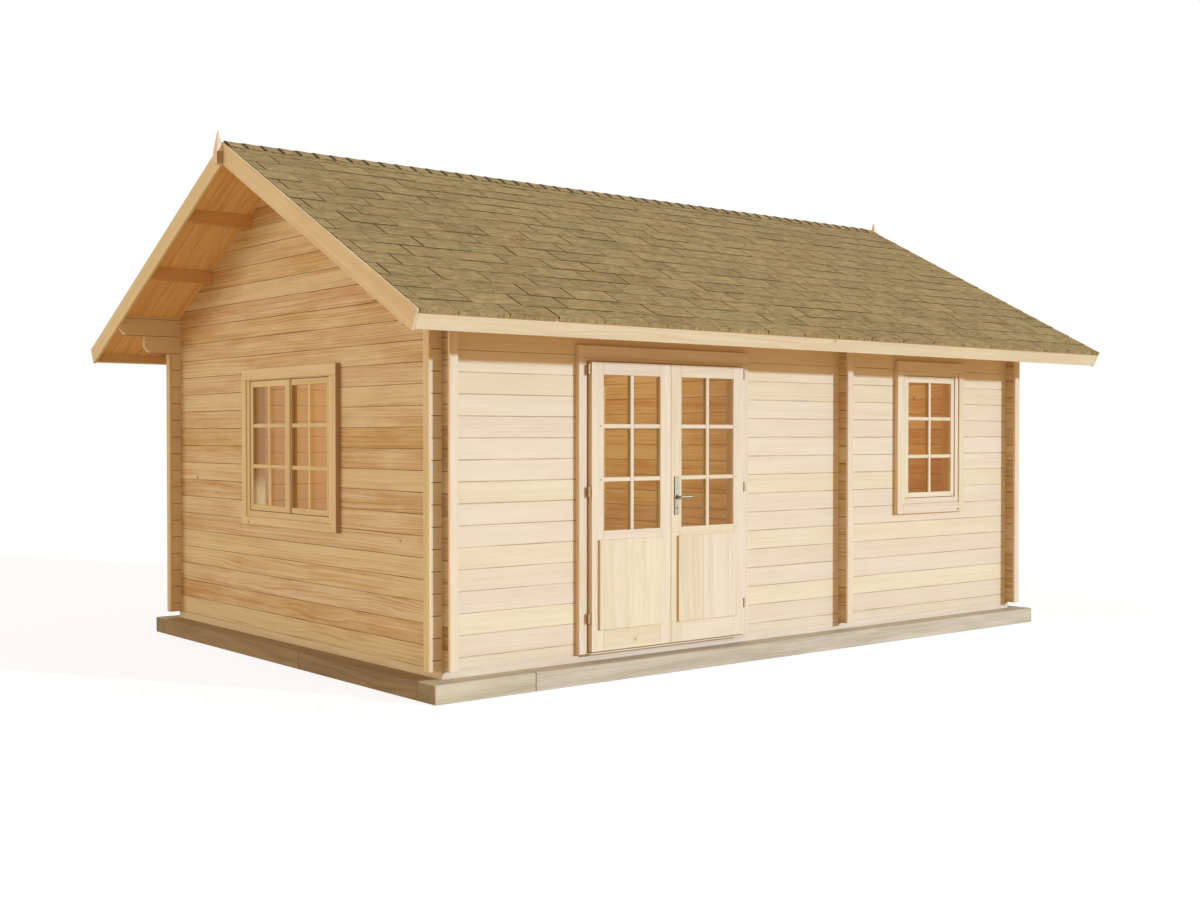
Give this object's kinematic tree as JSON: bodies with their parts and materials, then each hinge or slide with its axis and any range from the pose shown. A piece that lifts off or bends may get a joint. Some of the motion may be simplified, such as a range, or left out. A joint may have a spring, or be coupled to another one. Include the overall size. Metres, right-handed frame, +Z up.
{
  "type": "garden log cabin",
  "caption": "Log-built garden summer house with a shingled gable roof, glazed double doors that swing outward, barred windows and a partitioned inside.",
  "frame": {"origin": "centre of the plan on the ground, under the base timbers", "axes": "+X along the front wall to the right seen from outside, +Y from the front to the back, +Z up"},
  "size_m": [6.93, 5.0108, 3.695],
  "materials": {
    "log_wood": "planed bare spruce",
    "trim_wood": "planed bare spruce",
    "roof_wood": "planed tongue-and-groove boards",
    "floor_board": "planed floor boards",
    "base_timber": "sawn pressure-treated timber",
    "shingle": "mineral-faced bitumen felt shingles",
    "glass": "clear",
    "steel": "satin"
  },
  "bodies": {
    "house": {"back_wall": "log_wood", "barge_boards_left": "trim_wood", "barge_boards_right": "trim_wood", "base_back": "base_timber", "base_ends": "base_timber", "base_front": "base_timber", "corner_trims": "trim_wood", "door_casing": "trim_wood", "door_frame": "trim_wood", "fascias": "trim_wood", "finials": "trim_wood", "floor": "floor_board", "floor_bearers": "base_timber", "frame_hinges": "steel", "front_wall_left": "log_wood", "front_wall_over_door": "log_wood", "front_wall_right": "log_wood", "front_window_frame": "trim_wood", "front_window_sash": "trim_wood", "gable_window_frame": "trim_wood", "gable_window_sashes": "trim_wood", "left_gable_wall": "log_wood", "partition_wall_back": "log_wood", "partition_wall_front": "log_wood", "partition_wall_over_doorway": "log_wood", "purlins": "log_wood", "ridge_caps": "shingle", "right_gable_wall": "log_wood", "roof_boards_back": "roof_wood", "roof_boards_front": "roof_wood", "shingles_back": "shingle", "shingles_front": "shingle", "sill_boards": "trim_wood", "threshold": "trim_wood", "window_casings": "trim_wood", "window_glass": "glass"},
    "left_door": {"left_door_leaf": "trim_wood", "left_door_glass": "glass", "left_leaf_hinges": "steel"},
    "right_door": {"right_door_leaf": "trim_wood", "right_door_glass": "glass", "right_leaf_hinges": "steel", "handle_plates": "steel"},
    "lever": {"lever_handle": "steel"}
  },
  "joints": [
    {"name": "left_door_hinge", "type": "hinge", "parent": "house", "child": "left_door", "pos_m": [-1.8, -2.01, 1.14], "axis": [0, 0, -1], "range_deg": [0, 165]},
    {"name": "right_door_hinge", "type": "hinge", "parent": "house", "child": "right_door", "pos_m": [-0.374, -2.01, 1.14], "axis": [0, 0, 1], "range_deg": [0, 165]},
    {"name": "lever_turn", "type": "hinge", "parent": "right_door", "child": "lever", "pos_m": [-1.037, -1.999, 1.187], "axis": [0, 1, 0], "range_deg": [0, 40], "stiffness_Nm_per_rad": 1.5}
  ]
}
